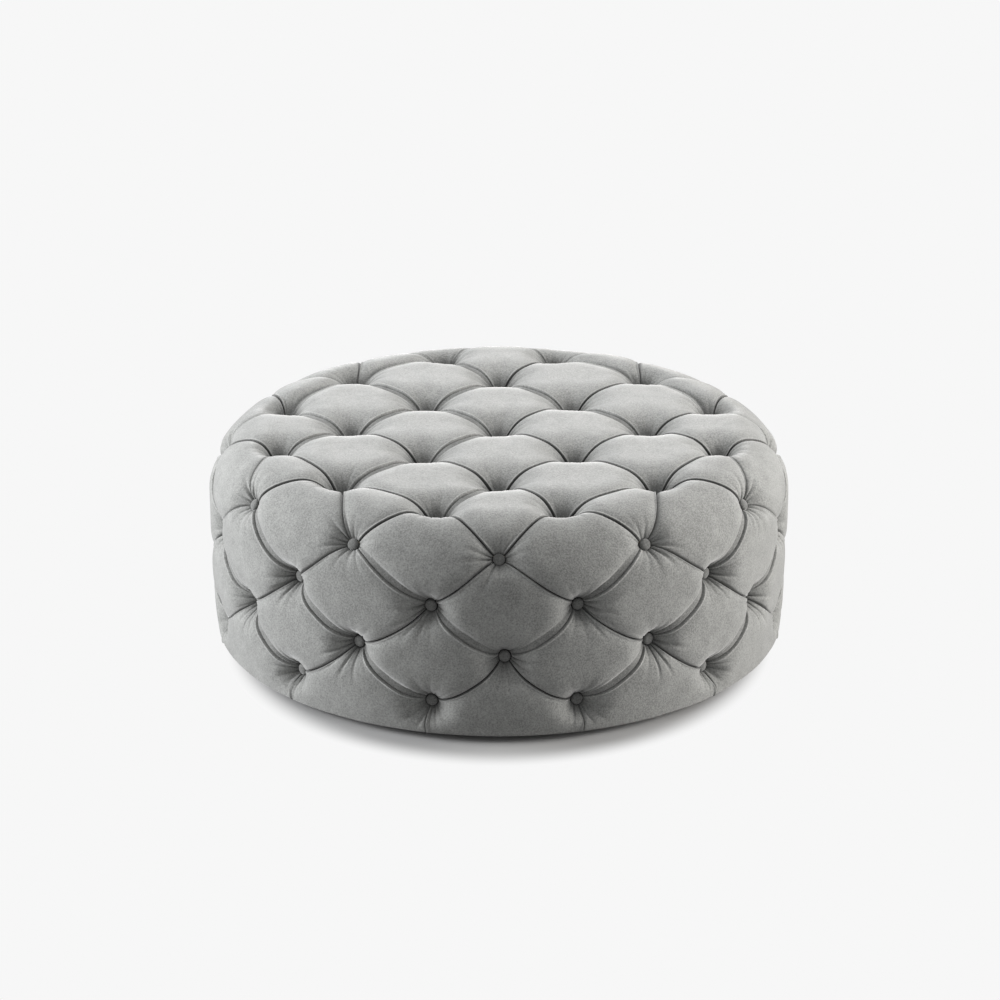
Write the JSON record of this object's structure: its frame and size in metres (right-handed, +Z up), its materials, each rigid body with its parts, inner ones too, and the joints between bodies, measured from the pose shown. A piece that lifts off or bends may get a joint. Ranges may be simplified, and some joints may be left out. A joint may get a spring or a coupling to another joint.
{
  "type": "tufted drum footstool",
  "caption": "Round deep-buttoned upholstered drum footstool: padded velvet pillows over a timber frame, standing low on hidden glides.",
  "frame": {"origin": "on the floor under the middle of the drum, in the plane of the glides' undersides", "axes": "+Z up; the side facing the camera in the picture looks towards -Y; the tufting repeats every quarter turn about Z"},
  "size_m": [1.0998, 1.0998, 0.405],
  "materials": {
    "velvet": "short-pile velvet, grey",
    "button_velvet": "the same grey velvet, stretched over button shells",
    "dust_cloth": "black woven underlining",
    "fibre": "white polyester fibre",
    "foam": "upholstery foam",
    "plywood": "unfinished plywood",
    "beech": "unfinished beech",
    "steel": "zinc-plated steel",
    "twine": "waxed tufting twine",
    "glide": "black nylon",
    "toggle": "moulded discs"
  },
  "bodies": {
    "root": {"glides": "glide", "glide_screws": "steel", "dust_cover": "dust_cloth", "dust_cover_staples": "steel", "base_ring": "plywood", "base_rail_long": "beech", "base_rail_cross": "beech", "outer_posts": "beech", "inner_posts": "beech", "frame_screws_lower": "steel", "frame_screws_upper": "steel", "inner_post_screws": "steel", "seat_board": "plywood", "side_panel_front": "plywood", "side_panel_back": "plywood", "panel_pins": "steel", "seat_foam": "foam", "side_foam": "foam", "fibre_fill": "fibre", "velvet_cover": "velvet", "hem_staples": "steel", "seat_buttons": "button_velvet", "shoulder_buttons": "button_velvet", "upper_side_buttons": "button_velvet", "middle_side_buttons": "button_velvet", "lower_side_buttons": "button_velvet", "button_shanks": "steel", "seat_twines": "twine", "side_twines": "twine", "shoulder_twines": "twine", "seat_toggles": "toggle", "side_toggles": "toggle", "twine_tacks": "steel"}
  },
  "joints": []
}
